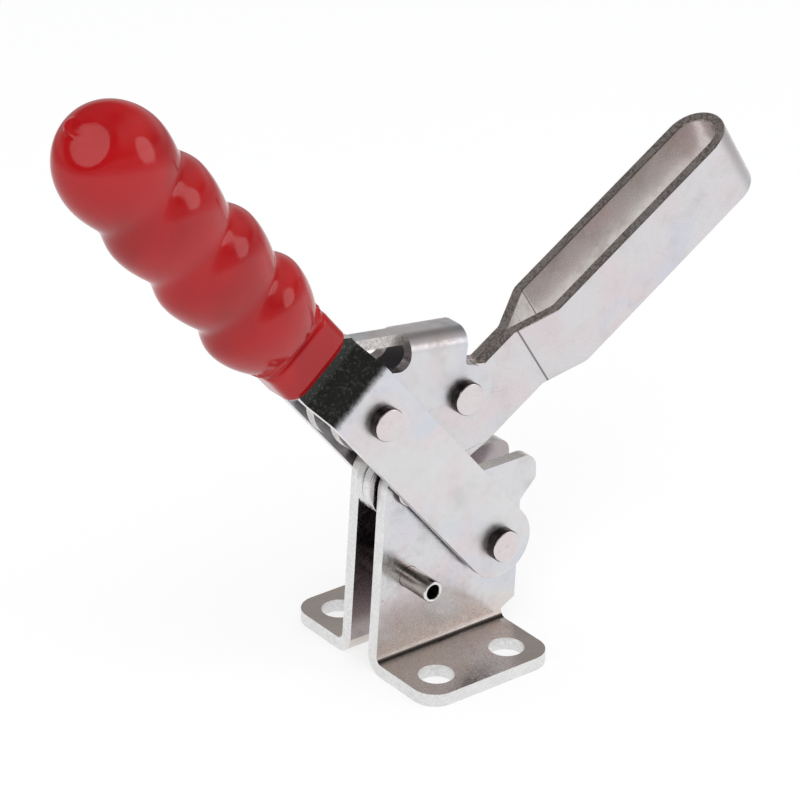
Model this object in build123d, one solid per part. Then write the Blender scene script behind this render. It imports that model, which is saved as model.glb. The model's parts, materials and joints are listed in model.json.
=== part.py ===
from build123d import *
import os
from math import acos, atan2, cos, degrees, hypot, radians, sin, sqrt, tan

# Vertical-handle toggle clamp with a flanged base and an open U-bar arm, in sheet steel. Millimetres.
# X runs along the clamping arm, Y across the clamp, Z up.
# The origin is the middle of the four bolt holes, on the underside of the flanges.
# The clamp is modelled half open: the handle leans back and the arm is raised.

# ---- base: a left and a right L-shaped plate ----
BASE_LENGTH = 26.5            # of a flange along X
BASE_WIDTH = 38.9             # over both flanges
BASE_THICKNESS = 2.3
BASE_ARM_GAP = 0.5            # between an upright plate and the arm
BASE_BEND = 1.3               # inside radius of the flange bend
FLANGE_CORNER = 4.3
BOLT_PITCH_X = 14.8
BOLT_PITCH_Y = 27.0
BOLT_HOLE = 6.1
FOOT_HEIGHT = 3.7             # where the upright plate widens past the flange
FOOT_SLOPE = 1.5              # height over which it widens
PLATE_FRONT_LOW = 16.1        # X of the plate's front edge above the foot
PLATE_FRONT_HIGH = 16.9       # X of the same edge under the horn
HORN_TIP = 20.2               # furthest X of the horn that guides the arm
HORN_TOP = 31.4
HORN_DEPTH = 8.0              # from the horn's top to where its sloping underside meets the plate
HORN_ROUND = 2.6
HORN_CHIN = 1.0
SHOULDER_START = 1.5          # X where the top edge leaves the boss of the arm pivot
ARM_BOSS = 4.75               # radius of the plate round the arm pivot

# ---- pivots, as X and Z ----
HANDLE_PIVOT = (10.25, 18.7)
ARM_PIVOT = (-6.55, 32.87)
HANDLE_CRANK = 38.6           # handle pivot to link pivot, along the handle
LINK_LENGTH = 19.4            # between the two holes of the link
HANDLE_LEAN = 39.2            # degrees that the handle leans back as modelled

# ---- arm: one strip folded into a U-bar ----
ARM_THICKNESS = 1.9
ARM_HEIGHT = 13.1             # of the strip, which stands on edge
ARM_TOP = 4.95                # top edge above the arm pivot
ARM_REACH = 83.0              # arm pivot to the outside of the loop
ARM_SLOT = 7.7                # width of the slot for the spindle
ARM_PLY_GAP = 0.1             # between the legs where they lie together
ARM_JOG_START = 30.7          # from the arm pivot to the bend where the legs part
ARM_JOG_END = 38.1
ARM_BEND = 1.3                # inside radius of those bends
ARM_TAIL = 6.1                # radius of the legs' ends round the arm pivot
ARM_EAR_WALL = 1.3            # of the ear round the slot for the link's rivet
ARM_EAR_END = 23.6            # where the ear runs out into the top edge
SLOT_DOWN = 8.0               # degrees about the arm pivot that the rivet's slot reaches down
SLOT_UP = 9.6                 # and up
SLOT_PLAY = 0.65              # between the rivet and the slot's sides

# ---- link: an inverted channel ----
LINK_THICKNESS = 2.0
LINK_ARM_GAP = 0.25           # between a wall and the arm
LINK_HEIGHT = 11.8            # top of the web above the line of pivots
LINK_BEND = 1.0               # inside radius
LINK_HANDLE_LOBE = 6.6        # radius of a wall round the handle's rivet
LINK_ARM_LOBE = 5.5           # radius of a wall round the arm's rivet
LINK_WEB_END = 18.7           # the web and the high part of the walls stop here
LINK_WEB_ROUND = 0.9
LINK_WINDOW_END = 7.1         # the cut-out in the walls ends here
LINK_WINDOW_ROUND = 2.2
LINK_TONGUE_WIDTH = 2.9
LINK_TONGUE_END = -2.8

# ---- handle: two strips cranked together into a tang ----
HANDLE_THICKNESS = 1.85
HANDLE_WIDTH = 12.8
HANDLE_HEAD_GAP = 0.2         # between the arm rivet's heads and the strips that pass over them
HANDLE_JOG_START = 6.9        # above the link pivot
HANDLE_JOG_END = 10.8
HANDLE_BEND = 1.0             # inside radius of those bends
TANG_GAP = 3.4                # between the strips in the tang
TANG_WIDTH = 9.8
TANG_START = 16.0             # the strips reach that width here, under the grip
TANG_END = 73.0

# ---- grip: a moulded sleeve ----
GRIP_OFFSET = 1.2             # the grip's axis behind the handle's line of pivots
GRIP_FLATTEN = 0.76           # thickness across as a share of the width
COLLAR_START = 13.0           # all heights are above the link pivot
COLLAR_END = 21.0
COLLAR_WALL = 0.8             # over the strips' edges and faces
COLLAR_OFFSET = 0.8
COLLAR_ROUND = 2.6
COLLAR_BEVEL = 0.9
GRIP_LEAD = 2.0               # how far the oval body runs down inside the collar
GRIP_SWELLS = ((28.9, 9.5), (42.9, 9.6), (56.5, 9.5), (69.0, 9.2))          # height and half width
GRIP_GROOVES = ((21.0, 7.2), (34.9, 8.25), (48.6, 8.3), (62.0, 8.45))
GRIP_END = 80.2
NIB_RADIUS = 0.9
NIB_LENGTH = 0.6

# ---- rivets, pin and spacers ----
SHANK = 3.5                   # diameter of every rivet
HEAD = 5.7
HEAD_HEIGHT = 1.8             # handle rivets
LINK_HEAD_HEIGHT = 1.6        # link-to-arm rivet, which passes inside the handle
ARM_HEAD_HEIGHT = 1.0         # arm rivet, which passes inside the handle
HEAD_EDGE = 0.3
STOP_PIN = 3.7
STOP_PIN_BORE = 2.5
STOP_PIN_PLACE = (-6.6, 16.55)
STOP_PIN_STICKOUT = 6.7       # from the front plate
SPACER_WALL = 1.4
FIT = 0.05                    # radial clearance of rivets and pins in their holes
SIDE_PLAY = 0.1               # between faces that slide on each other

# ---- places that follow ----
arm_half = ARM_THICKNESS + ARM_PLY_GAP / 2
base_inner = arm_half + BASE_ARM_GAP
base_outer = base_inner + BASE_THICKNESS
link_inner = arm_half + LINK_ARM_GAP
link_outer = link_inner + LINK_THICKNESS
handle_inner = base_outer + ARM_HEAD_HEIGHT + HANDLE_HEAD_GAP
handle_outer = handle_inner + HANDLE_THICKNESS
hole = SHANK / 2 + FIT


def turned(point, angle):
    """A point of X and Z, turned about the origin by degrees, from +X towards +Z."""
    a = radians(angle)
    return (point[0] * cos(a) - point[1] * sin(a), point[0] * sin(a) + point[1] * cos(a))


def elbow(start, start_reach, end, end_reach):
    """Where two bars of the given lengths meet, to the right of the way from start to end."""
    run, rise = end[0] - start[0], end[1] - start[1]
    apart = hypot(run, rise)
    along = (start_reach**2 - end_reach**2 + apart**2) / (2 * apart)
    aside = sqrt(start_reach**2 - along**2)
    return (start[0] + (along * run + aside * rise) / apart, start[1] + (along * rise - aside * run) / apart)


# Clamped shut, the handle is upright, the arm is level, and the link's rivet lies between the handle's pivots.
arm_pin = (HANDLE_PIVOT[0] - ARM_PIVOT[0], HANDLE_PIVOT[1] + HANDLE_CRANK - LINK_LENGTH - ARM_PIVOT[1])
arm_crank = hypot(*arm_pin)
lean = turned((0, HANDLE_CRANK), HANDLE_LEAN)
handle_pin_place = (HANDLE_PIVOT[0] + lean[0], HANDLE_PIVOT[1] + lean[1])
arm_pin_place = elbow(ARM_PIVOT, arm_crank, handle_pin_place, LINK_LENGTH)
arm_lift = degrees(atan2(arm_pin_place[1] - ARM_PIVOT[1], arm_pin_place[0] - ARM_PIVOT[0])
                   - atan2(arm_pin[1], arm_pin[0]))
link_slope = degrees(atan2(arm_pin_place[1] - handle_pin_place[1], arm_pin_place[0] - handle_pin_place[0]))
arm_frame = Location((ARM_PIVOT[0], 0, ARM_PIVOT[1]), (0, -arm_lift, 0))
handle_frame = Location((HANDLE_PIVOT[0], 0, HANDLE_PIVOT[1]), (0, -HANDLE_LEAN, 0))
link_frame = Location((handle_pin_place[0], 0, handle_pin_place[1]), (0, -link_slope, 0))

FAR = 150                     # longer than any piece, for cutting tools and profiles


def across(outline, y_from=-FAR, y_to=FAR):
    """A side view, drawn as X and Z, made solid between two places on Y."""
    low, high = min(y_from, y_to), max(y_from, y_to)
    return extrude(Plane.XZ.offset(-high) * outline, high - low)


def box_outline(x_low, x_high, z_low, z_high):
    return Pos((x_low + x_high) / 2, (z_low + z_high) / 2) * Rectangle(x_high - x_low, z_high - z_low)


def disc(place, radius):
    return Pos(*place) * Circle(radius)


def polygon(*places):
    return make_face(Polyline(*places, close=True))


def touch(place, centre, radius, side):
    """Where a straight edge from a place touches a disc: side is 1 to keep the disc on its right, else -1."""
    run, rise = place[0] - centre[0], place[1] - centre[1]
    angle = atan2(rise, run) + side * acos(radius / hypot(run, rise))
    return (centre[0] + radius * cos(angle), centre[1] + radius * sin(angle))


def band(start, start_radius, end, end_radius):
    """Two discs with the straight edges that touch both."""
    run, rise = end[0] - start[0], end[1] - start[1]
    heading, spread = atan2(rise, run), acos((start_radius - end_radius) / hypot(run, rise))
    corners = [(centre[0] + radius * cos(heading + side * spread), centre[1] + radius * sin(heading + side * spread))
               for centre, radius, side in ((start, start_radius, 1), (end, end_radius, 1),
                                            (end, end_radius, -1), (start, start_radius, -1))]
    return disc(start, start_radius) + disc(end, end_radius) + polygon(*corners)


def rounded_corner(outline, place, radius):
    """The outline with its corner nearest to a place rounded."""
    return fillet(outline.vertices().sort_by_distance((*place, 0))[0], radius)


def pin(place, radius, y_from=-FAR, y_to=FAR):
    return across(disc(place, radius), y_from, y_to)


def tube(place, inner, outer, y_from, y_to):
    return across(disc(place, outer) - disc(place, inner), y_from, y_to)


# ---- base ----

def base_outline():
    """The upright plate: a straight back edge, a boss round the arm pivot and a horn that guides the arm."""
    half = BASE_LENGTH / 2
    back = disc(ARM_PIVOT, ARM_BOSS) + polygon((-half, 0), (half, 0), (half, FOOT_HEIGHT),
                                               touch((half, FOOT_HEIGHT), ARM_PIVOT, ARM_BOSS, 1),
                                               touch((-half, BASE_THICKNESS), ARM_PIVOT, ARM_BOSS, -1),
                                               (-half, BASE_THICKNESS))
    horn_foot = HORN_TOP - HORN_DEPTH
    chin = (HORN_TIP, horn_foot + HORN_TIP - PLATE_FRONT_HIGH)
    front = polygon((-half, 0), (half, 0), (half, FOOT_HEIGHT), (PLATE_FRONT_LOW, FOOT_HEIGHT + FOOT_SLOPE),
                    (PLATE_FRONT_HIGH, horn_foot), chin, (HORN_TIP, HORN_TOP), (SHOULDER_START, HORN_TOP), ARM_PIVOT)
    front = rounded_corner(front, (HORN_TIP, HORN_TOP), HORN_ROUND)
    front = rounded_corner(front, chin, HORN_CHIN)
    return back + front


def base_plate(front):
    """One plate: its flange is bent outwards and has two bolt holes."""
    reach = BASE_WIDTH / 2
    section = polygon((base_inner, 0), (reach, 0), (reach, BASE_THICKNESS), (base_outer, BASE_THICKNESS),
                      (base_outer, FAR), (base_inner, FAR))
    section = rounded_corner(section, (base_outer, BASE_THICKNESS), BASE_BEND)
    section = rounded_corner(section, (base_inner, 0), BASE_BEND + BASE_THICKNESS)
    angle = extrude(Plane.YZ * section, FAR, both=True)
    plate = angle & across(base_outline(), 0, reach)
    plate = fillet(plate.edges().filter_by(Axis.Z).group_by(Axis.Y)[-1], FLANGE_CORNER)
    bolts = GridLocations(BOLT_PITCH_X, BOLT_PITCH_Y, 2, 2)
    plate -= bolts * Cylinder(BOLT_HOLE / 2, 3 * BASE_THICKNESS)
    plate -= pin(ARM_PIVOT, hole) + pin(HANDLE_PIVOT, hole) + pin(STOP_PIN_PLACE, STOP_PIN / 2 + FIT)
    return mirror(plate, Plane.XZ) if front else plate


# ---- arm ----

def arm_plan():
    """The folded strip from above: two legs side by side, a jog in each, and a round loop."""
    near, far = (ARM_PLY_GAP + ARM_THICKNESS) / 2, (ARM_SLOT + ARM_THICKNESS) / 2
    half_turn = atan2(far - near, ARM_JOG_END - ARM_JOG_START) / 2
    loop_centre = ARM_REACH - far - ARM_THICKNESS / 2
    start = -ARM_TAIL - 1

    def face(offset, radii):
        back = offset * tan(half_turn)
        leg = FilletPolyline((start, near + offset), (ARM_JOG_START - back, near + offset),
                             (ARM_JOG_END - back, far + offset), (loop_centre, far + offset), radius=radii)
        loop = ThreePointArc((loop_centre, far + offset), (loop_centre + far + offset, 0),
                             (loop_centre, -far - offset))
        end = Line((start, near + offset), (start, -near - offset))
        return make_face([leg, loop, mirror(leg, Plane.XZ), end])

    tight, wide = ARM_BEND, ARM_BEND + ARM_THICKNESS
    return face(ARM_THICKNESS / 2, (tight, wide)) - face(-ARM_THICKNESS / 2, (wide, tight))


def arm_outline():
    """The strip from the side: a round tail, an ear over the rivet's slot, and the bar."""
    low = ARM_TOP - ARM_HEIGHT
    ear_radius = SHANK / 2 + SLOT_PLAY + ARM_EAR_WALL
    top_corner, low_corner, ear_corner = (arm_pin[0], ARM_TOP), (arm_pin[0], low), (ARM_EAR_END, ARM_TOP)
    root = disc((0, 0), ARM_TAIL) + polygon(touch(top_corner, (0, 0), ARM_TAIL, 1), top_corner, low_corner,
                                            touch(low_corner, (0, 0), ARM_TAIL, -1))
    ear_top = turned(arm_pin, SLOT_UP)
    ear = band(turned(arm_pin, -SLOT_DOWN), ear_radius, ear_top, ear_radius)
    ear += polygon(ear_top, touch(ear_corner, ear_top, ear_radius, 1), ear_corner, low_corner)
    bar = box_outline(arm_pin[0], ARM_REACH + 1, low, ARM_TOP)
    return root + ear + bar


def clamp_arm():
    """The U-bar. Its slot, an arc about the arm pivot, gives the link's rivet room as the clamp folds."""
    bar = extrude(arm_plan(), FAR, both=True) & across(arm_outline())
    way = ThreePointArc(*(turned(arm_pin, angle) for angle in (-SLOT_DOWN, 0, SLOT_UP)))
    bar -= pin((0, 0), hole)
    bar -= across(SlotArc(way, SHANK + 2 * SLOT_PLAY))
    return arm_frame * bar


# ---- link ----

def channel(width, top, bend):
    """A long bar under a web, with its upper corners rounded."""
    bar = Pos(0, top - FAR / 2) * Rectangle(width, FAR)
    bar = fillet(bar.vertices().group_by(Axis.Y)[-1], bend)
    return extrude(Plane.YZ * bar, FAR, both=True)


def link():
    """A channel: its walls are lobes round both rivets, with a window and a narrow tongue of the web over it."""
    folded = (channel(2 * link_outer, LINK_HEIGHT, LINK_BEND + LINK_THICKNESS)
              - channel(2 * link_inner, LINK_HEIGHT - LINK_THICKNESS, LINK_BEND))
    lobes = band((0, 0), LINK_HANDLE_LOBE, (LINK_LENGTH, 0), LINK_ARM_LOBE)
    wall = lobes + box_outline(LINK_WINDOW_END, LINK_WEB_END, 0, LINK_HEIGHT)
    wall = rounded_corner(wall, (LINK_WEB_END, LINK_ARM_LOBE), LINK_WEB_ROUND)
    wall = rounded_corner(wall, (LINK_WINDOW_END, LINK_HANDLE_LOBE), LINK_WINDOW_ROUND)
    tongue = box_outline(LINK_TONGUE_END, LINK_WINDOW_END + 1, LINK_HEIGHT - LINK_THICKNESS, LINK_HEIGHT)
    body = (folded & across(wall)) + across(tongue, -LINK_TONGUE_WIDTH / 2, LINK_TONGUE_WIDTH / 2)
    body -= pin((0, 0), hole) + pin((LINK_LENGTH, 0), hole)
    return link_frame * body


# ---- handle, drawn upright with the handle pivot at the origin ----

def strip_section():
    """A handle strip from the front, as Y and Z: straight, cranked inwards, straight again."""
    start, end = HANDLE_CRANK + HANDLE_JOG_START, HANDLE_CRANK + HANDLE_JOG_END
    far, near = handle_outer - HANDLE_THICKNESS / 2, (TANG_GAP + HANDLE_THICKNESS) / 2
    half_turn = atan2(far - near, end - start) / 2
    top = HANDLE_CRANK + TANG_END

    def face(offset, radii):
        rise = offset * tan(half_turn)
        return FilletPolyline((far + offset, -HANDLE_WIDTH), (far + offset, start + rise), (near + offset, end + rise),
                              (near + offset, top), radius=radii)

    tight, wide = HANDLE_BEND, HANDLE_BEND + HANDLE_THICKNESS
    outer, inner = face(HANDLE_THICKNESS / 2, (wide, tight)), face(-HANDLE_THICKNESS / 2, (tight, wide))
    return make_face([outer, inner, Line(outer @ 0, inner @ 0), Line(outer @ 1, inner @ 1)])


def strip_outline():
    """A handle strip from the side: round at the handle pivot, then narrower where the grip covers it."""
    half, tang_half = HANDLE_WIDTH / 2, TANG_WIDTH / 2
    rim, tang, top = (HANDLE_CRANK + height for height in (COLLAR_START, TANG_START, TANG_END))
    back, front = -GRIP_OFFSET - tang_half, -GRIP_OFFSET + tang_half
    wide = disc((0, 0), half) + box_outline(-half, half, 0, rim)
    taper = polygon((-half, rim), (half, rim), (front, tang), (back, tang))
    narrow = box_outline(back, front, tang, top - tang_half) + disc((-GRIP_OFFSET, top - tang_half), tang_half)
    return wide + taper + narrow


def handle_strip(front):
    strip = extrude(Plane.YZ * strip_section(), FAR, both=True) & across(strip_outline())
    strip -= pin((0, 0), hole) + pin((0, HANDLE_CRANK), hole)
    return handle_frame * (mirror(strip, Plane.XZ) if front else strip)


def grip_sections():
    """Heights and half widths down the grip: swells that meet in round grooves, then an elliptic end."""
    turns = sorted(GRIP_SWELLS + GRIP_GROOVES)
    first, last = turns[0], turns[-1]
    sections = [(first[0] - GRIP_LEAD, first[1])]
    for start, end in zip(turns, turns[1:]):
        narrow, wide = sorted((start[1], end[1]))
        sections += [start, ((start[0] + end[0]) / 2, narrow + (wide - narrow) * sin(radians(45)))]
    sections.append(last)
    for angle in (20, 40, 58, 72, 83):
        a = radians(angle)
        sections.append((last[0] + (GRIP_END - last[0]) * sin(a), last[1] * cos(a)))
    return sections


def grip():
    """Oval sleeve with four swells, a rounded end with the drip left by dipping, and a flat-sided collar."""
    body = loft([Pos(0, 0, height) * Ellipse(half_width, half_width * GRIP_FLATTEN)
                 for height, half_width in grip_sections()])
    nib = Pos(0, 0, GRIP_END) * Cylinder(NIB_RADIUS, 2 * NIB_LENGTH)
    body += fillet(nib.edges().group_by(Axis.Z)[-1], NIB_RADIUS * 0.6)
    width = HANDLE_WIDTH + 2 * COLLAR_WALL
    depth = TANG_GAP + 2 * (HANDLE_THICKNESS + COLLAR_WALL)
    collar = extrude(RectangleRounded(width, depth, COLLAR_ROUND), COLLAR_END - COLLAR_START)
    collar = fillet(collar.edges().group_by(Axis.Z)[0], COLLAR_BEVEL)
    sleeve = Pos(-GRIP_OFFSET, 0, HANDLE_CRANK) * body
    sleeve += Pos(-COLLAR_OFFSET, 0, HANDLE_CRANK + COLLAR_START) * collar
    pocket = strip_outline() & box_outline(-FAR, FAR, HANDLE_CRANK, FAR)
    for side in (-1, 1):
        sleeve -= across(pocket, side * TANG_GAP / 2, side * (TANG_GAP / 2 + HANDLE_THICKNESS))
    return handle_frame * sleeve


# ---- rivets and the stop pin ----

def rivet(place, reach, head_height):
    """A rivet along Y with a flat head at each end; reach is half of what it holds together."""
    body = pin(place, SHANK / 2, -reach, reach)
    for side in (-1, 1):
        body += pin(place, HEAD / 2, side * reach, side * (reach + head_height))
    rims = body.edges().filter_by(GeomType.CIRCLE).group_by(Axis.Y)
    return fillet(rims[0] + rims[-1], HEAD_EDGE)


nodes = {
    "base_plate_front": base_plate(True),
    "base_plate_rear": base_plate(False),
    "clamp_arm": clamp_arm(),
    "link": link(),
    "handle_plate_front": handle_strip(True),
    "handle_plate_rear": handle_strip(False),
    "arm_pivot_rivet": rivet(ARM_PIVOT, base_outer, ARM_HEAD_HEIGHT),
    "handle_pivot_rivet": rivet(HANDLE_PIVOT, handle_outer + SIDE_PLAY, HEAD_HEIGHT),
    "handle_link_rivet": rivet(handle_pin_place, handle_outer, HEAD_HEIGHT),
    "link_arm_rivet": rivet(arm_pin_place, link_outer, LINK_HEAD_HEIGHT),
    "stop_pin": tube(STOP_PIN_PLACE, STOP_PIN_BORE / 2, STOP_PIN / 2, -base_outer - STOP_PIN_STICKOUT, base_outer),
    "grip": grip(),
    "stop_pin_spacer": tube(STOP_PIN_PLACE, STOP_PIN / 2 + FIT, STOP_PIN / 2 + SPACER_WALL, -base_inner, base_inner),
    "handle_pivot_spacer": tube(HANDLE_PIVOT, hole, SHANK / 2 + SPACER_WALL, -base_inner, base_inner),
}
for side, name in ((-1, "front"), (1, "rear")):
    nodes["handle_pivot_washer_" + name] = tube(HANDLE_PIVOT, hole, SHANK / 2 + SPACER_WALL,
                                                side * base_outer, side * (handle_inner - SIDE_PLAY))
    nodes["handle_link_washer_" + name] = tube(handle_pin_place, hole, SHANK / 2 + SPACER_WALL,
                                               side * (link_outer + SIDE_PLAY), side * handle_inner)

os.makedirs("parts", exist_ok=True)
for name, solid in nodes.items():
    export_step(solid, os.path.join("parts", name + ".step"))
print("arm raised", round(arm_lift, 4), "link slope", round(link_slope, 4))
print("link pivot on handle", handle_pin_place, "rivet of link and arm", arm_pin_place)
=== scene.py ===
import json
from math import atan2, cos, degrees, pi, radians, sin

import bpy
import numpy as np
from mathutils import Matrix, Vector


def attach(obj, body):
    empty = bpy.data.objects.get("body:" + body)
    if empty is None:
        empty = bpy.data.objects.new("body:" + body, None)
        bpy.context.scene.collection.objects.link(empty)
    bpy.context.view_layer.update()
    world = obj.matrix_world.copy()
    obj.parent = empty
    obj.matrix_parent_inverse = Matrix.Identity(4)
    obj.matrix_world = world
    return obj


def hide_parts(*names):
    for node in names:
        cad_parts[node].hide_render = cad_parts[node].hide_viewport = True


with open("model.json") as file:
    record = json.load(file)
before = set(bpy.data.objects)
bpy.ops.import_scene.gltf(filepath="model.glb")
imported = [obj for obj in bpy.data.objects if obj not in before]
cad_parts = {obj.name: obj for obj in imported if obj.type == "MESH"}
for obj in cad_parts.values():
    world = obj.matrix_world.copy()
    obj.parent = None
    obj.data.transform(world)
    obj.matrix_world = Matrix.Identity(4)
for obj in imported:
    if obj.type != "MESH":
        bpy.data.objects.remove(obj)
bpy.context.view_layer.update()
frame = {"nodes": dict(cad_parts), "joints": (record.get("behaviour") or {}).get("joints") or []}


# ---- Camera, floor and light ----
# The clamp stands on a white table. A long lens looks down on it from the front left.
# Soft lamps stand round it in a grey room, which the bright steel mirrors.

def aim(thing, place, back, up):
    """Puts a camera or lamp at a place, looking against back, with up as the top of its view."""
    back = Vector(back).normalized()
    right = Vector(up).cross(back).normalized()
    axes = Matrix((right, back.cross(right), back)).transposed().to_4x4()
    thing.matrix_world = Matrix.Translation(place) @ axes
    return thing


def add(name, data):
    """Puts a camera, lamp or mesh into the scene."""
    made = bpy.data.objects.new(name, data)
    bpy.context.scene.collection.objects.link(made)
    return made


def node(tree, kind, inputs=None, **settings):
    """Adds a shader node. An input is a plain value, or the output of another node that feeds it."""
    made = tree.nodes.new("ShaderNode" + kind)
    for setting, value in settings.items():
        setattr(made, setting, value)
    for socket, value in (inputs or {}).items():
        if isinstance(value, bpy.types.NodeSocket):
            tree.links.new(value, made.inputs[socket])
        else:
            made.inputs[socket].default_value = value
    return made


def math(tree, operation, *values):
    """One step of arithmetic on node outputs or numbers."""
    return node(tree, "Math", dict(enumerate(values)), operation=operation).outputs[0]


def between(tree, value, low, high, at_low=0.0, at_high=1.0):
    """Rescales a value smoothly from low..high to at_low..at_high."""
    return node(tree, "MapRange", {"Value": value, "From Min": low, "From Max": high, "To Min": at_low,
                                   "To Max": at_high}, interpolation_type="SMOOTHSTEP").outputs[0]


def ramp(tree, factor, *stops):
    """A colour ramp through (place, grey or colour) stops."""
    made = node(tree, "ValToRGB", {"Fac": factor})
    for index, (place, colour) in enumerate(stops):
        stop = made.color_ramp.elements[index] if index < 2 else made.color_ramp.elements.new(place)
        stop.position = place
        stop.color = (*colour, 1) if isinstance(colour, tuple) else (colour, colour, colour, 1)
    return made.outputs["Color"]


def blend(tree, factor, first, second):
    """Mixes two colours."""
    made = node(tree, "Mix", data_type="RGBA")
    for socket, value in ((made.inputs["Factor"], factor), (made.inputs[6], first), (made.inputs[7], second)):
        if isinstance(value, bpy.types.NodeSocket):
            tree.links.new(value, socket)
        else:
            socket.default_value = value
    return made.outputs[2]


def seen_directly(tree):
    """1 for rays that come from the camera, a mirror or a glass, else 0."""
    path = node(tree, "LightPath").outputs
    direct = math(tree, "MAXIMUM", path["Is Camera Ray"], path["Is Glossy Ray"])
    return math(tree, "MAXIMUM", direct, path["Is Transmission Ray"])


def white_paper():
    """The table top. It glows evenly to the eye and in mirrors, and keeps a soft shadow. Away from the middle
    it greys, at distances in metres."""
    paper = bpy.data.materials.new("white_paper")
    paper.use_nodes = True
    tree = paper.node_tree
    tree.nodes.clear()
    coords = node(tree, "TexCoord").outputs["Object"]
    away = node(tree, "VectorMath", {0: coords}, operation="LENGTH").outputs["Value"]
    greying = ramp(tree, away, (0.34, 1.0), (0.50, 0.45), (0.75, 0.28), (1.0, 0.2))
    glow = node(tree, "Emission", {"Color": greying, "Strength": 0.71})
    lit = node(tree, "BsdfDiffuse", {"Color": (0.36, 0.36, 0.36, 1)})
    shown = node(tree, "AddShader", {0: lit.outputs[0], 1: glow.outputs[0]})
    plain = node(tree, "BsdfDiffuse", {"Color": (0.8, 0.8, 0.8, 1)})
    either = node(tree, "MixShader", {0: seen_directly(tree), 1: plain.outputs[0], 2: shown.outputs[0]})
    node(tree, "OutputMaterial", {"Surface": either.outputs[0]})
    return paper


def grey_room():
    """The room that the steel mirrors, by height from level (0) to overhead (1). It is pale at table height
    behind the clamp and greyer in front. Higher up it is mid grey on the front right and nearly black on the
    front left. To rays that aren't seen directly it is one even light."""
    room = bpy.data.worlds.new("room")
    room.use_nodes = True
    tree = room.node_tree
    tree.nodes.clear()
    heading = node(tree, "SeparateXYZ", {0: node(tree, "TexCoord").outputs["Generated"]}).outputs
    behind = ramp(tree, heading["Z"], (0.0, 0.55), (0.12, 0.70), (0.28, (0.60, 0.585, 0.57)),
                  (0.46, (0.43, 0.41, 0.39)), (0.60, (0.18, 0.165, 0.16)), (1.0, 0.26))
    right = ramp(tree, heading["Z"], (0.0, 0.42), (0.05, 0.30), (0.12, (0.15, 0.125, 0.11)),
                 (0.34, (0.50, 0.46, 0.43)), (0.50, (0.66, 0.61, 0.59)), (0.68, (0.52, 0.47, 0.46)),
                 (0.80, 0.12))
    left = ramp(tree, heading["Z"], (0.0, 0.42), (0.05, 0.28), (0.12, 0.05), (0.75, 0.04), (1.0, 0.20))
    front = blend(tree, between(tree, heading["X"], 0.0, 0.4), left, right)
    around = blend(tree, between(tree, heading["Y"], -0.3, 0.25), front, behind)
    mirrored = node(tree, "Background", {"Color": around})
    ambient = node(tree, "Background", {"Color": (0.98, 0.99, 1, 1), "Strength": 0.62})
    either = node(tree, "MixShader", {0: seen_directly(tree), 1: ambient.outputs[0], 2: mirrored.outputs[0]})
    node(tree, "OutputWorld", {"Surface": either.outputs[0]})
    return room


def soft_lamp(name, direction, distance, width, height, brightness, tint=(1, 1, 1), in_mirrors=True):
    """An oval lamp in a direction from the clamp; brightness is what a mirror shows, where 1 is white."""
    data = bpy.data.lights.new(name, "AREA")
    data.shape = "ELLIPSE"
    data.size, data.size_y = width, height
    data.energy = brightness * pi * pi * width * height / 4
    data.color = tint
    lamp = add(name, data)
    lamp.visible_glossy = in_mirrors
    towards = Vector(direction).normalized()
    clamp_middle = Vector((0, 0, 0.05))
    return aim(lamp, clamp_middle + towards * distance, towards, (0, 0, 1))


# The point that the lens is aimed at and its distance, then how far it is turned round, raised and tilted.
view_target, view_distance = Vector((-0.004708, 0, 0.047137)), 0.56115
view_turn, view_rise, view_tilt = radians(37.49), radians(26.4159), radians(0.408)
view_level = Vector((cos(view_turn), -sin(view_turn), 0))
view_back = Vector((-sin(view_turn) * cos(view_rise), -cos(view_turn) * cos(view_rise), sin(view_rise)))
view_top = view_back.cross(view_level) * cos(view_tilt) - view_level * sin(view_tilt)
camera = add("camera", bpy.data.cameras.new("camera"))
camera.data.sensor_width = 36
camera.data.lens = 155.58
camera.data.shift_x = -0.00174
camera.data.shift_y = -0.00383
camera.data.clip_start = 0.05
camera.data.clip_end = 20
aim(camera, view_target + view_back * view_distance, view_back, view_top)

scene = bpy.context.scene
scene.camera = camera
scene.view_settings.view_transform = "Standard"
scene.world = grey_room()

# The table top lies a hair below the clamp's feet, so that the two never share a plane.
table_half, table_top = 4, -2e-5
table_corners = [(x * table_half, y * table_half, table_top) for x, y in ((-1, -1), (1, -1), (1, 1), (-1, 1))]
floor_mesh = bpy.data.meshes.new("floor")
floor_mesh.from_pydata(table_corners, [], [(0, 1, 2, 3)])
floor_mesh.materials.append(white_paper())
floor = add("floor", floor_mesh)

soft_lamp("window_right", (0.70, -0.69, 0.16), 0.9, 0.42, 0.46, 1.7, (1, 0.95, 0.95))
soft_lamp("window_left", (-0.59, -0.60, 0.54), 0.9, 0.40, 0.36, 1.7, (1, 0.96, 0.95))
soft_lamp("overhead", (-0.25, -0.45, 0.86), 1.0, 0.8, 0.8, 1.75, in_mirrors=False)


# ---- Base plates ----
# A right and a left hand pressing of bright nickel plated steel sheet, each blanked, pierced and folded once.
# Their faces keep the fine rolled skin of the sheet, and the blanked edges are rougher.

def finish(name, **sockets):
    """A material whose shader sockets get plain values, with its tree, shader and object coordinates."""
    made = bpy.data.materials.new(name)
    made.use_nodes = True
    shader = made.node_tree.nodes["Principled BSDF"]
    for socket, value in sockets.items():
        shader.inputs[socket.replace("_", " ")].default_value = value
    coords = node(made.node_tree, "TexCoord").outputs["Object"]
    return made, made.node_tree, shader, coords


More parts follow.
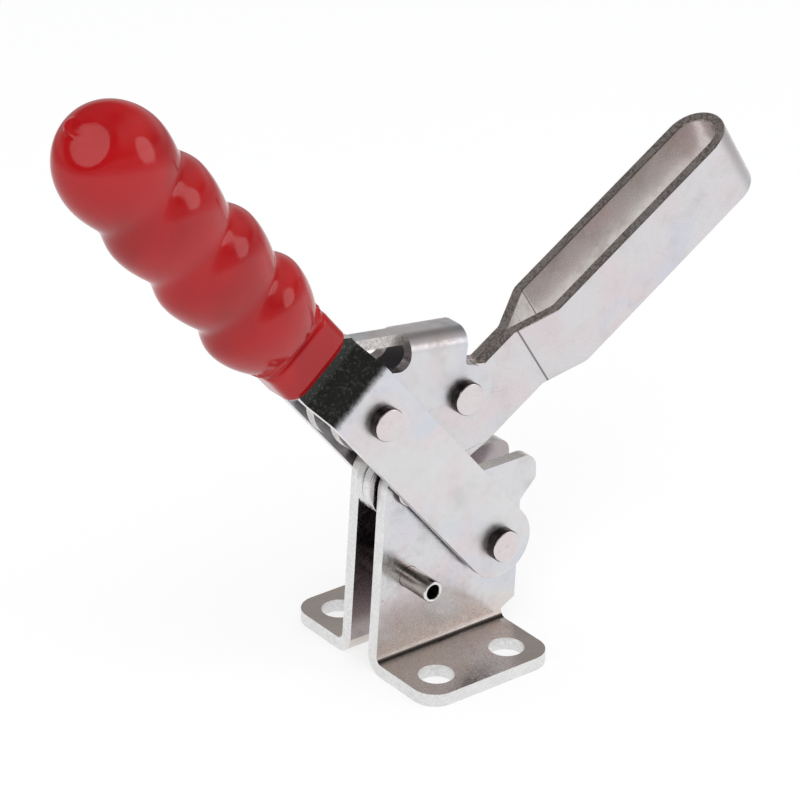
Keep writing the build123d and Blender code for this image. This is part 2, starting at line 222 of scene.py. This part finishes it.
def finished(material):
    """The tree, shader, object coordinates and colour of a finished material, for marks laid over it."""
    tree = material.node_tree
    shader = tree.nodes["Principled BSDF"]
    coords = node(tree, "TexCoord").outputs["Object"]
    return tree, shader, coords, shader.inputs["Base Color"].links[0].from_socket


def noise(tree, where, size, detail=2.0, roughness=0.5, distortion=0.0):
    """Cloudy noise whose lumps are about size metres across."""
    return node(tree, "TexNoise", {"Vector": where, "Scale": 1 / size, "Detail": detail,
                                   "Roughness": roughness, "Distortion": distortion}).outputs["Fac"]


def mapped(tree, coords, scale=(1, 1, 1), turn=0.0, place=(0, 0, 0)):
    """Coordinates for a pattern: squeezed by scale, so that it stretches, then turned about Y and moved."""
    return node(tree, "Mapping", {"Vector": coords, "Location": place, "Rotation": (0, turn, 0),
                                  "Scale": scale}).outputs[0]


def times(tree, value, share):
    """A node output times a number or another output."""
    return math(tree, "MULTIPLY", value, share)


def weighted(tree, *terms):
    """The sum of (node output, weight) pairs."""
    total = 0.0
    for value, weight in terms:
        total = math(tree, "ADD", total, times(tree, value, weight))
    return total


def shade(colour, shares=(1, 1, 1)):
    """A colour whose red, green and blue are each scaled by a share, up to full."""
    return (*(min(1, channel * share) for channel, share in zip(colour, shares)), 1)


def bump(tree, shader, height, depth):
    """Raises the surface by height, of which 1 is depth metres."""
    made = node(tree, "Bump", {"Height": height, "Strength": 1.0, "Distance": depth})
    tree.links.new(made.outputs["Normal"], shader.inputs["Normal"])


def sheet_steel(name, place, grain, stain, colour=(0.69, 0.685, 0.70), blue_share=1.0, satin=0.0):
    """Bright plated sheet: faint pink and blue clouds, dull stains, jagged pits in patches, fine mottle, and
    scratches near the grain. Place moves the pattern, so that no two parts share it. Satin roughens it."""
    made, tree, shader, coords = finish(name, Metallic=1.0)
    where = mapped(tree, coords, turn=grain, place=place)
    pink = between(tree, noise(tree, where, 0.0085, 2.5), 0.42, 0.66)
    blue = between(tree, noise(tree, where, 0.0110, 2.0, distortion=0.6), 0.50, 0.72)
    dull = between(tree, noise(tree, where, 0.0050, 4.0, 0.6), 0.48, 0.80)
    mottle = between(tree, noise(tree, where, 0.0009, 3.0, 0.6), 0.35, 0.70)
    grit = noise(tree, where, 0.0012, 4.0, 0.6)
    orange_peel = noise(tree, where, 0.0035, 1.5)

    pits_per_metre = 620.0
    jagged = mapped(tree, where, scale=(0.55, 1, 1), turn=0.8)
    spots = node(tree, "TexVoronoi", {"Vector": jagged, "Scale": pits_per_metre}).outputs["Distance"]
    spots = weighted(tree, (spots, 1.0), (noise(tree, where, 0.0003, 2.0), 0.16))
    pitted_patches = between(tree, noise(tree, where, 0.0055, 2.0), 0.58, 0.66)
    pits = times(tree, between(tree, spots, 0.11, 0.19, 1.0, 0.0), pitted_patches)
    streaked = mapped(tree, where, scale=(0.05, 1, 1), turn=0.35)
    scratches = between(tree, noise(tree, streaked, 0.00035, 1.0), 0.68, 0.76)

    skin = blend(tree, pink, shade(colour), shade(colour, (1.02, 0.945, 0.955)))
    skin = blend(tree, times(tree, blue, blue_share), skin, shade(colour, (0.925, 0.955, 1.03)))
    skin = blend(tree, times(tree, dull, stain), skin, shade(colour, (0.72, 0.68, 0.62)))
    skin = blend(tree, times(tree, pits, 0.6), skin, (0.26, 0.24, 0.23, 1))
    skin = blend(tree, times(tree, mottle, 0.10), skin, shade(colour, (0.80, 0.79, 0.78)))
    tree.links.new(skin, shader.inputs["Base Color"])
    rough = between(tree, grit, 0.3, 0.75, 0.19 + satin, 0.31 + satin)
    rough = weighted(tree, (rough, 1.0), (dull, 0.10), (scratches, 0.12))
    tree.links.new(rough, shader.inputs["Roughness"])
    height = weighted(tree, (orange_peel, 0.9), (grit, 0.28), (pits, -0.5), (scratches, -0.12))
    bump(tree, shader, height, 2.2e-5)
    return made


def blanked_edge(name, colour=(0.79, 0.785, 0.785), size=0.0005, depth=0.7e-5, contrast=0.07):
    """The torn and burnished edge that the press leaves: small dull lumps with bright flats between."""
    made, tree, shader, coords = finish(name, Metallic=1.0)
    torn = noise(tree, coords, size, 3.0, 0.6)
    flats = between(tree, noise(tree, coords, 0.004, 2.0), 0.4, 0.7)
    dull = shade(colour, (1 - contrast, 1 - 1.05 * contrast, 1 - 1.1 * contrast))
    skin = blend(tree, between(tree, torn, 0.38, 0.62), dull, shade(colour))
    skin = blend(tree, times(tree, flats, 0.35), skin, shade(colour, (1.12, 1.12, 1.12)))
    tree.links.new(skin, shader.inputs["Base Color"])
    tree.links.new(between(tree, torn, 0.35, 0.7, 0.42, 0.24), shader.inputs["Roughness"])
    bump(tree, shader, torn, depth)
    return made


def foot_painted_reflection_and_shade(material):
    """Warms the plating near the flange, a painted warm reflection. The fold itself gets painted shade: dark
    within about half a millimetre of a line that runs along it, at set distances out from the middle and up
    from the table."""
    fold_out, fold_up = 0.00535, 0.00275
    tree, shader, coords, skin = finished(material)
    place = node(tree, "SeparateXYZ", {0: coords}).outputs
    low = weighted(tree, (place["Z"], 1.0), (noise(tree, coords, 0.006, 3.0), 0.009))
    # Painted warm reflection: the plating low down is tinted warm.
    painted_warm_reflection = times(tree, between(tree, low, 0.0065, 0.0150, 1.0, 0.0), 0.65)
    skin = blend(tree, painted_warm_reflection, skin, (0.70, 0.635, 0.575, 1))
    out = math(tree, "SUBTRACT", math(tree, "ABSOLUTE", place["Y"]), fold_out)
    up = math(tree, "SUBTRACT", place["Z"], fold_up)
    off = math(tree, "SQRT", weighted(tree, (out, out), (up, up)))
    # Painted shade: a dark line along the inside of the fold.
    dark = between(tree, off, 0.00022, 0.00068, 0.94, 0.0)
    tree.links.new(blend(tree, dark, skin, (0.06, 0.05, 0.045, 1)), shader.inputs["Base Color"])
    return material


def faces_of(part):
    """The middles and the outward directions of a part's faces, as two arrays of one row a face."""
    count = len(part.data.polygons)
    middles, normals = np.empty(count * 3), np.empty(count * 3)
    part.data.polygons.foreach_get("center", middles)
    part.data.polygons.foreach_get("normal", normals)
    return middles.reshape(-1, 3), normals.reshape(-1, 3)


def looking(normals, axis, least):
    """Which faces look along axis 0, 1 or 2, one way or the other, by at least that share."""
    return np.abs(normals[:, axis]) > least


def dress(part, materials, edge, which=None, segments=2):
    """Gives a part its materials by face, welds its triangles and breaks its sharp edges."""
    part.data.materials.clear()
    for material in materials:
        part.data.materials.append(material)
    count = len(part.data.polygons)
    which = np.zeros(count, int) if which is None else which.astype(int)
    part.data.polygons.foreach_set("material_index", which)
    for name in ("custom_normal", "sharp_edge", "sharp_face"):
        if name in part.data.attributes:
            part.data.attributes.remove(part.data.attributes[name])
    part.data.polygons.foreach_set("use_smooth", np.ones(count, bool))
    weld = part.modifiers.new("weld", "WELD")
    weld.merge_threshold = 2e-6
    broken = part.modifiers.new("broken_edges", "BEVEL")
    broken.width = edge
    broken.segments = segments
    broken.limit_method = "ANGLE"
    broken.angle_limit = radians(38)
    broken.harden_normals = True
    broken.use_clamp_overlap = True


# Out from the middle: just past the inner face, and the start of the flange. Up: the tops of flange and fold.
inner_face, flange_start, flange_top, fold_top = 0.0025, 0.0062, 0.0024, 0.005
for part_name, place in (("base_plate_front", (0.02, 0.01, 0.03)), ("base_plate_rear", (0.3, 0.2, 0.1))):
    plate = frame["nodes"][part_name]
    middles, normals = faces_of(plate)
    out, up = np.abs(middles[:, 1]), middles[:, 2]
    in_flange = (out > flange_start) & (up < flange_top)
    upright_edges = looking(normals, 0, 0.3) | (~looking(normals, 1, 0.3) & (up > fold_top))
    edge_faces = np.where(in_flange, ~looking(normals, 2, 0.3), upright_edges)
    inner_faces = (out < inner_face) & looking(normals, 1, 0.9)
    skin = foot_painted_reflection_and_shade(sheet_steel(part_name + "_skin", place, grain=0.4, stain=0.5))
    # Painted shade: the inner faces, which face the other plate, get a darker steel.
    inside_painted_shade = sheet_steel(part_name + "_inside", place, grain=0.4, stain=0.6, colour=(0.43, 0.385, 0.395))
    dress(plate, [skin, blanked_edge(part_name + "_edge"), inside_painted_shade], edge=0.00018,
          which=np.where(inner_faces, 2, edge_faces))


# ---- Rivets, spacers and washers ----
# Turned steel rivets, headed by a rolling tool that leaves faint rings round a shallow dimple.
# The spacers and washers are plain turned rings. The walls of heads and bushes are painted near black as
# shade.

def axis_of(part):
    """Where the axis of a round part that lies along Y crosses the middle plane: the middle of its box."""
    box = np.array(part.bound_box)
    middle = (box.min(axis=0) + box.max(axis=0)) / 2
    return np.array((middle[0], 0, middle[2]))


def riveted(name, axis):
    """Turned steel. Height over the head follows the distance r from the rivet's axis: small waves of r and a
    dimple that sinks as a smooth step of r."""
    made, tree, shader, coords = finish(name, Metallic=1.0)
    apart = node(tree, "VectorMath", {0: coords, 1: axis}, operation="SUBTRACT").outputs[0]
    flat = node(tree, "VectorMath", {0: apart, 1: (1, 0, 1)}, operation="MULTIPLY").outputs[0]
    radius = node(tree, "VectorMath", {0: flat}, operation="LENGTH").outputs["Value"]
    ring_pitch = 0.00042
    wavering = weighted(tree, (radius, 1.0), (noise(tree, coords, 0.0012, 2.0), 0.00025))
    rings = math(tree, "SINE", times(tree, wavering, 2 * pi / ring_pitch))
    dimple = between(tree, radius, 0.0006, 0.0016)
    grit = noise(tree, coords, 0.0009, 3.0, 0.6)
    cloud = between(tree, noise(tree, coords, 0.0022, 2.0), 0.40, 0.66)
    skin = blend(tree, cloud, (0.70, 0.66, 0.666, 1), (0.70, 0.63, 0.642, 1))
    skin = blend(tree, between(tree, grit, 0.60, 0.75, 0.0, 0.4), skin, (0.42, 0.38, 0.37, 1))
    tree.links.new(skin, shader.inputs["Base Color"])
    tree.links.new(between(tree, grit, 0.3, 0.75, 0.20, 0.34), shader.inputs["Roughness"])
    bump(tree, shader, weighted(tree, (rings, 0.10), (dimple, 1.0), (grit, 0.35)), 2.4e-5)
    return made


def turned_wall(name, dark, light):
    """The wall of a head, bush or washer: noise stretched round it, from a dark to a light colour."""
    made, tree, shader, coords = finish(name, Metallic=1.0)
    worn = noise(tree, mapped(tree, coords, scale=(0.3, 1, 0.3)), 0.0003, 3.0, 0.6)
    skin = blend(tree, between(tree, worn, 0.4, 0.7), (*dark, 1), (*light, 1))
    tree.links.new(skin, shader.inputs["Base Color"])
    tree.links.new(between(tree, worn, 0.3, 0.7, 0.30, 0.42), shader.inputs["Roughness"])
    bump(tree, shader, worn, 0.6e-5)
    return made


# Painted shade: the walls of rivet heads and bushes are near black; the washers' walls are grey.
painted_shade_wall, grey_wall = ((0.045, 0.035, 0.035), (0.12, 0.10, 0.10)), ((0.40, 0.37, 0.36), (0.62, 0.60, 0.59))
for part_name in ("arm_pivot_rivet", "handle_pivot_rivet", "handle_link_rivet", "link_arm_rivet",
                  "handle_pivot_spacer", "stop_pin_spacer", "handle_pivot_washer_front",
                  "handle_pivot_washer_rear", "handle_link_washer_front", "handle_link_washer_rear"):
    turned = frame["nodes"][part_name]
    steel = riveted(part_name + "_steel", axis_of(turned))
    wall = turned_wall(part_name + "_wall", *(grey_wall if "washer" in part_name else painted_shade_wall))
    dress(turned, [steel, wall], edge=0.00008, which=~looking(faces_of(turned)[1], 1, 0.6))


# ---- Stop pin ----
# A pin rolled from thin strip and pressed through the base plates. Its steel is painted dark brown as the dark
# room it mirrors, and its end is painted bright as a highlight.
# Drawing has left streaks along it.

def drawn_steel(name, pin_end):
    """Dark brown steel, painted as the dark room that the pin mirrors, with streaks: noise stretched along the
    pin, so that it changes round it but not along it. It is painted bright at the pin's end as a highlight."""
    made, tree, shader, coords = finish(name, Metallic=1.0)
    streaks = noise(tree, mapped(tree, coords, scale=(1, 0.04, 1)), 0.0006, 3.0, 0.6)
    skin = blend(tree, between(tree, streaks, 0.35, 0.65), (0.23, 0.20, 0.17, 1), (0.56, 0.52, 0.49, 1))
    place = node(tree, "SeparateXYZ", {0: coords}).outputs["Y"]
    # Painted highlight: the pin's end is made bright.
    burnished = between(tree, place, pin_end + 0.0004, pin_end + 0.0001)
    skin = blend(tree, burnished, skin, (0.74, 0.73, 0.73, 1))
    tree.links.new(skin, shader.inputs["Base Color"])
    tree.links.new(between(tree, streaks, 0.3, 0.7, 0.14, 0.28), shader.inputs["Roughness"])
    bump(tree, shader, streaks, 1.4e-5)
    return made


stop_pin = frame["nodes"]["stop_pin"]
front_end = min(corner[1] for corner in stop_pin.bound_box)
dress(stop_pin, [drawn_steel("stop_pin_steel", front_end)], edge=0.00022, segments=3)


# ---- Clamping arm ----
# One strip of bright steel on edge, folded back on itself round a slot for the spindle.
# Its cut edges are dull and torn, and tumbling has rounded them.

def hinge(name):
    """A joint's place in the middle plane, and how many degrees it stands open."""
    joint = next(joint for joint in frame["joints"] if joint["name"] == name)
    return np.array(joint["pos_m"]), -joint["range_deg"][0]


def level_faces(part, pivot, slope):
    """Face middles and directions as they would be with the pivot at the origin and the part lying level."""
    middles, normals = faces_of(part)
    turn = radians(slope)
    levelled = []
    for rows in (middles - pivot, normals):
        x, y, z = rows.T
        levelled.append(np.column_stack((x * cos(turn) + z * sin(turn), y, z * cos(turn) - x * sin(turn))))
    return levelled


def distance_along(tree, coords, pivot, slope):
    """The distance from a pivot along a line that rises at a slope from +X."""
    line = (cos(radians(slope)), 0, sin(radians(slope)))
    apart = node(tree, "VectorMath", {0: coords, 1: pivot}, operation="SUBTRACT").outputs[0]
    return node(tree, "VectorMath", {0: apart, 1: line}, operation="DOT_PRODUCT").outputs["Value"]


arm_pivot, arm_lift = hinge("arm_swing")


def with_painted_bend_shade(material, place):
    """Adds painted shade in a bend: a thin dark line across the strip, where the distance
    along the arm from its pivot is place."""
    tree, shader, coords, skin = finished(material)
    off = math(tree, "SUBTRACT", distance_along(tree, coords, arm_pivot, arm_lift), place)
    # Painted shade: a thin dark line across the bend.
    mark = between(tree, math(tree, "ABSOLUTE", off), 0.00007, 0.00022, 0.8, 0.0)
    tree.links.new(blend(tree, mark, skin, (0.10, 0.095, 0.095, 1)), shader.inputs["Base Color"])
    return material


# Along the arm from its pivot: the end of the foot, the start of the slot, and the start and the middle of the
# loop. Then the bends where painted shade marks the crease, on the outside and on the inside.
foot_end, slot_start, loop_start, loop_middle = 0.012, 0.031, 0.076, 0.077
outer_bend, inner_bend = 0.03135, 0.0381
arm = frame["nodes"]["clamp_arm"]
middles, normals = level_faces(arm, arm_pivot, arm_lift)
along, across = middles[:, 0], middles[:, 1]
in_loop = along > loop_start
edge_faces = np.where(in_loop, looking(normals, 2, 0.7), ~looking(normals, 1, 0.3))
outward = normals[:, 1] * across + normals[:, 0] * (along - loop_middle) * in_loop
in_slot = (outward < -1e-5) & (along > slot_start) & ~edge_faces
material_of = np.where(in_slot, 2, edge_faces)
material_of[edge_faces & (along < foot_end)] = 3
grain = radians(-arm_lift)
outside = sheet_steel("arm_skin", (0.05, 0.02, 0.07), grain, stain=0.3, colour=(0.675, 0.66, 0.675))
# Painted shade: the faces inside the slot get a darker, warmer steel.
inside_painted_shade = sheet_steel("arm_inside", (0.02, 0.07, 0.05), grain, stain=0.6, colour=(0.60, 0.565, 0.55),
                     blue_share=0)
torn_edge = blanked_edge("arm_edge", (0.74, 0.685, 0.665), size=0.00045, depth=4.0e-5, contrast=0.60)
foot_edge = blanked_edge("arm_foot_edge")
dress(arm, [with_painted_bend_shade(outside, outer_bend), torn_edge, with_painted_bend_shade(inside_painted_shade, inner_bend), foot_edge], edge=0.00026,
      which=material_of, segments=3)


# ---- Link ----
# A channel pressed from sheet: two walls and a web, with a window cut through each wall.
# The walls hold the arm between them.

link_pivot = hinge("link_swing")[0]
rise = axis_of(frame["nodes"]["link_arm_rivet"]) - link_pivot
link_slope = degrees(atan2(rise[2], rise[0]))

# How high over the line through the link's pivots the web and its narrow tongue start, and half the tongue's
# width.
web_height, tongue_height, tongue_half = 0.0085, 0.0095, 0.0016
link = frame["nodes"]["link"]
middles, normals = level_faces(link, link_pivot, link_slope)
across, up = np.abs(middles[:, 1]), middles[:, 2]
web = (up > web_height) & looking(normals, 2, 0.3) & ~looking(normals, 0, 0.3)
tongue_sides = (up > tongue_height) & (across < tongue_half) & looking(normals, 1, 0.7)
edge_faces = ~looking(normals, 1, 0.3) & ~web | tongue_sides
skin = sheet_steel("link_skin", (0.11, 0.04, 0.02), radians(-link_slope), stain=0.25, satin=0.1)
cut_edge = blanked_edge("link_edge", (0.66, 0.63, 0.62), size=0.0004, depth=1.0e-5, contrast=0.25)
dress(link, [skin, cut_edge], edge=0.00016, which=edge_faces)


# ---- Handle strips ----
# Two strips of sheet, cranked together above the link so that they fit into the grip.
# The cranked stretch is painted black, with lighter scuffs, as the dark room that it mirrors.

handle_pivot, handle_lean = hinge("handle_swing")


def cranked_steel_painted_dark(name, place):
    """Sheet steel painted black over the crank, by height along the handle, as the dark room that it mirrors,
    with lighter scuffs in the black.
    """
    made = sheet_steel(name, place, radians(-handle_lean), stain=0.2, colour=(0.72, 0.72, 0.73), satin=0.13)
    tree, shader, coords, skin = finished(made)
    height = distance_along(tree, coords, handle_pivot, 90 + handle_lean)
    ragged = weighted(tree, (height, 1.0), (noise(tree, coords, 0.0009, 5.0, 0.75), 0.0024))
    # Painted dark reflection: black from about 46 mm up the handle.
    dark = between(tree, ragged, 0.0462, 0.0476)
    scuffs = between(tree, noise(tree, coords, 0.0006, 4.0, 0.7), 0.50, 0.68)
    black = blend(tree, scuffs, (0.048, 0.053, 0.049, 1), (0.15, 0.155, 0.145, 1))
    tree.links.new(blend(tree, dark, skin, black), shader.inputs["Base Color"])
    rough = shader.inputs["Roughness"].links[0].from_socket
    tree.links.new(weighted(tree, (rough, 1.0), (dark, 0.12)), shader.inputs["Roughness"])
    return made


for part_name, place in (("handle_plate_front", (0.07, 0.09, 0.01)), ("handle_plate_rear", (0.2, 0.1, 0.4))):
    strip = frame["nodes"][part_name]
    normals = level_faces(strip, handle_pivot, handle_lean)[1]
    dress(strip, [cranked_steel_painted_dark(part_name + "_skin", place), blanked_edge(part_name + "_edge")], edge=0.00016,
          which=looking(normals, 0, 0.5))


# ---- Grip ----
# A sleeve of red vinyl, dipped over the tang while hot: four swells for the fingers, a flat collar, and the
# small drip where the last of the vinyl ran off.

# All in millimetres. Heights run along the grip from the link's pivot: the collar's rim, its top, and the end
# of the dome. Each groove and each swell's peak is a pair of a height and the half width there. The collar's
# centre lies beside the handle's line of pivots.
rim_height, collar_top, dome_end = 13.0, 20.4, 79.6
collar_centre = -0.8
grooves = ((21.0, 7.1), (34.75, 8.12), (48.34, 8.2), (61.84, 8.39))
swells = ((30.05, 9.88), (43.14, 9.84), (56.61, 9.80), (68.12, 9.50))


def smooth_step(share):
    """0 up to 0, 1 from 1 on, and 3 s^2 - 2 s^3 between."""
    share = np.clip(share, 0, 1)
    return share * share * (3 - 2 * share)


def bell(distance, spread):
    """1 at no distance, falling off as a bell curve."""
    return np.exp(-(distance / spread) ** 2)


def swell_profile(height):
    """Half width of the grip by height. It rises as a sine power from each groove to the next swell, falls as
    another to the next groove, and ends as half an ellipse."""
    rise_power, fall_power = 0.87, 1.2
    width = np.full_like(height, grooves[0][1])
    stretches = [(groove, swell, rise_power) for groove, swell in zip(grooves, swells)]
    stretches += [(groove, swell, fall_power) for groove, swell in zip(grooves[1:], swells)]
    for (low, low_width), (peak, peak_width), power in stretches:
        here = (height >= min(low, peak)) & (height < max(low, peak))
        share = np.sin(np.pi / 2 * (height[here] - low) / (peak - low)) ** power
        width[here] = low_width + (peak_width - low_width) * share
    peak, peak_width = swells[-1]
    dome = height >= peak
    share = (height[dome] - peak) / (dome_end - peak)
    width[dome] = peak_width * np.sqrt(np.clip(1 - share ** 2, 0, 1))
    return width


def softened(height, spread):
    """The same half width with its creases rounded by a bell curve of that spread, except over the dome."""
    spacing, bell_reach = 0.05, 3.5
    all_soft, all_plain = 66.0, 70.0
    dense = np.arange(rim_height - 2, dome_end + 1, spacing)
    width = swell_profile(dense)
    reach = int(spread / spacing * bell_reach)
    weights = np.exp(-0.5 * (np.arange(-reach, reach + 1) * spacing / spread) ** 2)
    rounded = np.convolve(np.pad(width, reach, mode="edge"), weights / weights.sum(), "valid")
    plain = np.clip((dense - all_soft) / (all_plain - all_soft), 0, 1)
    mixed = np.interp(height, dense, rounded * (1 - plain) + width * plain)
    return np.where(height > all_plain, swell_profile(height), mixed)


def ring_heights(rings):
    """The rings' heights: even up to the last swell, then by angle over the dome."""
    even_share, last_peak = 0.82, swells[-1][0]
    t = np.linspace(0, 1, rings)
    evenly = rim_height + (last_peak - rim_height) * t / even_share
    quarter = np.pi / 2 * np.clip((t - even_share) / (1 - even_share), 0, 1)
    return np.where(t < even_share, evenly, last_peak + (dome_end - last_peak) * np.sin(quarter))


def unevenness(height, phi, oval):
    """What the dip leaves: low waves of angle and height that die out over the dome, and puckers where the
    collar meets the first swell."""
    pucker_depth, pucker_height, pucker_spread, even_length = 0.09, 21.6, 0.9, 8
    lumps = 0.05 * np.sin(3 * phi + 0.21 * height) + 0.04 * np.sin(2 * phi - 0.13 * height + 1)
    lumps = lumps * oval * np.clip((dome_end - height) / even_length, 0, 1)
    puckers = pucker_depth * np.sin(34 * phi + 2.6 * height) * np.abs(np.cos(phi)) ** 6
    return lumps + puckers * bell(height - pucker_height, pucker_spread)


def grip_surface(rings=520, spokes=200):
    """A tube of rings. Each ring is a superellipse |n/a|^e + |y/b|^e = 1, where the half width a, half depth
    b and exponent e change with height: a rounded oblong for the collar, an oval above it. The creases are
    crisper on the side that faces the arm. The vinyl rounds off at the rim and necks in over the collar."""
    collar_half, collar_depth, collar_power = 7.2, 4.35, 5.0
    oval_flatness, oval_power, oval_centre = 0.745, 2.0, -1.05
    change_length, soft_until = 2.0, -0.3
    rim_inset, rim_length = 0.78, 1.6
    neck_inset, neck_height, neck_spread, neck_end = 0.34, 20.7, 0.6, 22.5
    crisp, soft = 0.6, 1.1
    height = ring_heights(rings)
    oval = smooth_step((height - collar_top) / change_length)
    rim = rim_inset * np.clip(1 - (height - rim_height) / rim_length, 0, 1) ** 1.25
    inset = rim + neck_inset * bell(height - neck_height, neck_spread)
    phi = np.linspace(0, 2 * np.pi, spokes, endpoint=False)
    c, s = np.cos(phi), np.sin(phi)
    facing = smooth_step((c - soft_until) / (1 - soft_until))
    a = softened(height, crisp)[:, None] * facing + softened(height, soft)[:, None] * (1 - facing)
    a = np.where((height < collar_top + 1)[:, None], np.minimum(a, collar_half), a)
    a = a - np.where(height < neck_end, inset, 0)[:, None]
    b = ((collar_depth - inset) * (1 - oval))[:, None] + oval_flatness * a * oval[:, None]
    power = (2 / (collar_power * (1 - oval) + oval_power * oval))[:, None]
    n = a * np.sign(c) * np.abs(c) ** power
    y = b * np.sign(s) * np.abs(s) ** power
    swell = 1 + unevenness(height[:, None], phi, oval[:, None]) / np.maximum(a, 1)
    centre = collar_centre * (1 - oval) + oval_centre * oval
    return centre[:, None] + n * swell, y * swell, height[:, None] + 0 * phi


def flattened_tip(n, y, h):
    """The flat of the tip: what stands past a plane is pressed back to it, with a soft edge."""
    across, side, up = -0.13, -0.66, 0.74
    plane, softness = 59.46, 0.22
    press = softness * np.logaddexp(0, (n * across + y * side + h * up - plane) / softness)
    return n - press * across, y - press * side, h - press * up


def with_drip(n, y, h):
    """The drip: a ridge that curves round a point near the tip and fades towards its ends."""
    point, radius, width, ridge_height, above = (-1.5, -1.0), 1.25, 0.42, 0.55, 74
    towards, ridge_spread = 2.0, 1.25
    off, turn = np.hypot(n - point[0], y - point[1]), np.arctan2(y - point[1], n - point[0])
    turned_off = np.angle(np.exp(1j * (turn - towards)))
    ridge = bell(off - radius, width) * bell(turned_off, ridge_spread)
    return n, y, h + ridge_height * ridge * (h > above)


def dipped_grip():
    """The tube's rings and two end fans, placed on the leaning handle. The foot is slightly dished."""
    foot_dish = 0.35
    n, y, h = with_drip(*flattened_tip(*grip_surface()))
    rings, spokes = len(n) - 1, len(n[0])
    last = [n[-1].mean(), y[-1].mean(), h[-1].mean()]
    first = [collar_centre, 0.0, rim_height + foot_dish]
    tube = np.column_stack([rows[:-1].ravel() for rows in (n, y, h)])
    n, y, h = np.vstack((tube, last, first)).T / 1000
    lean = radians(handle_lean)
    x = link_pivot[0] + n * cos(lean) - h * sin(lean)
    z = link_pivot[2] + n * sin(lean) + h * cos(lean)
    row, column = np.meshgrid(np.arange(rings - 1), np.arange(spokes), indexing="ij")
    here, beside = row * spokes + column, row * spokes + (column + 1) % spokes
    quads = np.stack((here, beside, beside + spokes, here + spokes), -1).reshape(-1, 4)
    around = np.arange(spokes)
    beyond = (around + 1) % spokes
    top, tip = (rings - 1) * spokes, rings * spokes
    tip_fan = np.column_stack((top + around, top + beyond, np.full(spokes, tip)))
    foot_fan = np.column_stack((beyond, around, np.full(spokes, tip + 1)))
    mesh = bpy.data.meshes.new("dipped_grip")
    points = np.column_stack((x, y, z)).tolist()
    mesh.from_pydata(points, [], quads.tolist() + tip_fan.tolist() + foot_fan.tolist())
    mesh.polygons.foreach_set("use_smooth", np.ones(len(mesh.polygons), bool))
    return mesh


def dipped_vinyl(name):
    """Glossy red vinyl, a little deeper in places, with the faint waviness of a dip."""
    made, tree, shader, coords = finish(name, Metallic=0.0, Specular_IOR_Level=0.43, Subsurface_Weight=0.05,
                                        Subsurface_Scale=0.0015)
    cloud = between(tree, noise(tree, coords, 0.012, 2.0), 0.38, 0.66)
    skin = blend(tree, cloud, (0.49, 0.0070, 0.0100, 1), (0.40, 0.0050, 0.0080, 1))
    tree.links.new(skin, shader.inputs["Base Color"])
    fine = noise(tree, coords, 0.0011, 2.0)
    tree.links.new(between(tree, fine, 0.3, 0.7, 0.105, 0.15), shader.inputs["Roughness"])
    bump(tree, shader, weighted(tree, (noise(tree, coords, 0.006, 1.5), 1.0), (fine, 0.06)), 5e-5)
    return made


grip = add("dipped_grip", dipped_grip())
grip.data.materials.append(dipped_vinyl("red_vinyl"))
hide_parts("grip")
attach(grip, "handle")
